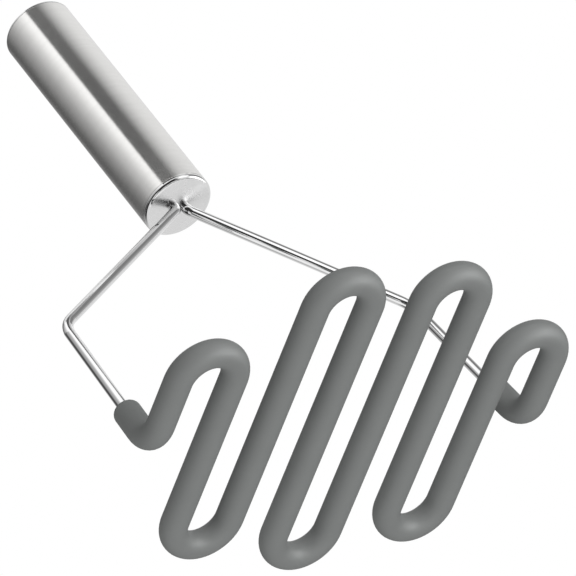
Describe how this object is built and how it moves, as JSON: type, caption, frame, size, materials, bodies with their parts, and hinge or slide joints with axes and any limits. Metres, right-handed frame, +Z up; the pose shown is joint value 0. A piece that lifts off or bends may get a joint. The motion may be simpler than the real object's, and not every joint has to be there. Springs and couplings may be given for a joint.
{
  "type": "potato masher",
  "caption": "Potato masher: a zigzag of steel rod in a grey silicone sleeve forms the plate, and two sloping arms carry a straight steel tube handle.",
  "frame": {"origin": "on the surface the masher stands on, under the handle's axis, at the middle of the mash plate", "axes": "+Z up the handle, X across the two legs, Y along the strands of the plate"},
  "size_m": [0.1518, 0.1179, 0.2114],
  "materials": {
    "brushed_steel": "fine satin, brushed round the tube",
    "polished_steel": "mirror polish",
    "rod_steel": "electropolished",
    "silicone": "matt moulded",
    "weld_steel": "as welded"
  },
  "bodies": {
    "root": {"handle_tube": "brushed_steel", "top_cap": "polished_steel", "bottom_cap": "polished_steel", "masher_wire": "rod_steel", "silicone_sleeve": "silicone", "cap_weld": "weld_steel"}
  },
  "joints": []
}
